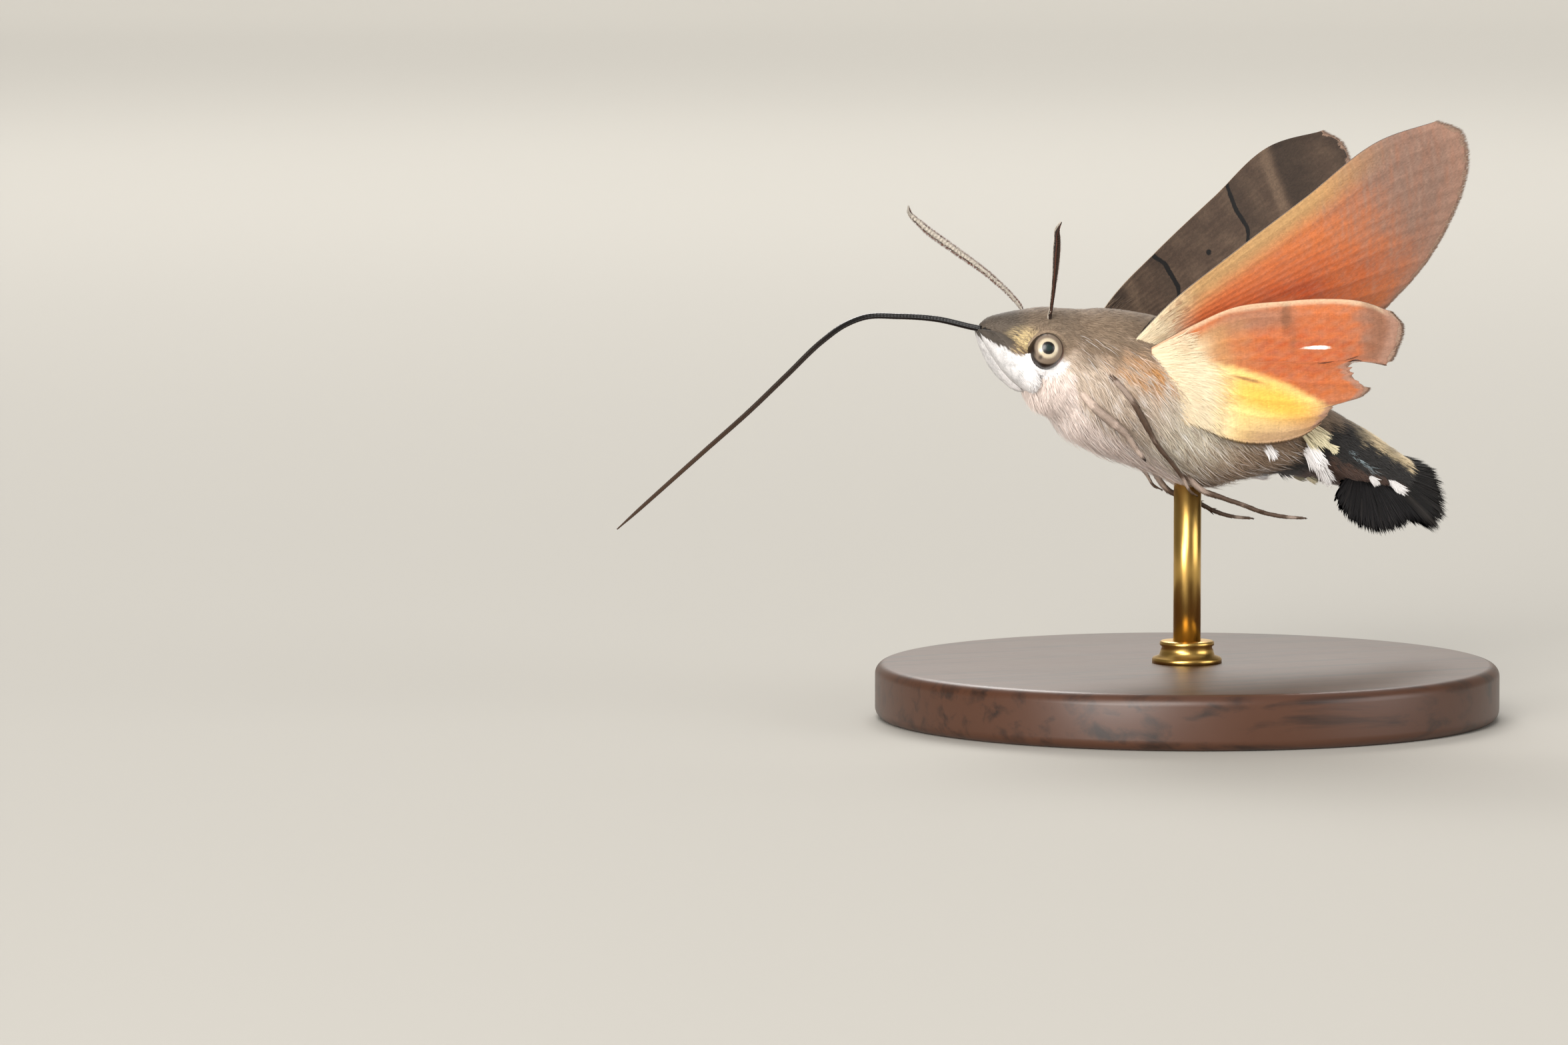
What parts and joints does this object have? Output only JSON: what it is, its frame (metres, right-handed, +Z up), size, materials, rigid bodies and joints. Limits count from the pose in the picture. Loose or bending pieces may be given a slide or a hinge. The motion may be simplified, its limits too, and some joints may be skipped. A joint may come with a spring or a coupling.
{
  "type": "hummingbird hawk moth model",
  "caption": "Life-size still model of a hovering hummingbird hawk moth, wings raised and tongue out, on a round display stand.",
  "frame": {"origin": "centre of the stand base's underside, on the surface that it rests on", "axes": "+Z up; the moth's head points along -X and its left side faces -Y"},
  "size_m": [0.0519, 0.034, 0.0328],
  "materials": {
    "fur": "short grey-brown hair",
    "white_scales": "close white scales",
    "eye": "glossy, pale grey-brown",
    "horn": "glossy brown-black",
    "feeler": "fine ringed brown",
    "hind_coat": "brown-black hair with white side tufts",
    "brush": "black hair-scales",
    "forewing": "scaled, orange below and grey-brown above",
    "hindwing": "scaled, golden orange with a brown edge",
    "leg": "brown with cream scales",
    "stand_wood": "satin dark stain",
    "stand_metal": "satin"
  },
  "bodies": {
    "root": {"head": "fur", "thorax": "fur", "abdomen": "hind_coat", "tail_fan": "brush", "palp_left": "white_scales", "palp_right": "white_scales", "eye_left": "eye", "eye_right": "eye", "proboscis_base": "horn", "proboscis_bend": "horn", "proboscis_shaft": "horn", "antenna_left": "feeler", "antenna_right": "feeler", "forewing_left": "forewing", "forewing_right": "forewing", "hindwing_left": "hindwing", "hindwing_right": "hindwing", "foreleg_left": "leg", "foreleg_right": "leg", "midleg_left": "leg", "midleg_right": "leg", "hindleg_left": "leg", "hindleg_right": "leg", "stand_base": "stand_wood", "stand_collar": "stand_metal", "stand_rod": "stand_metal"}
  },
  "joints": []
}
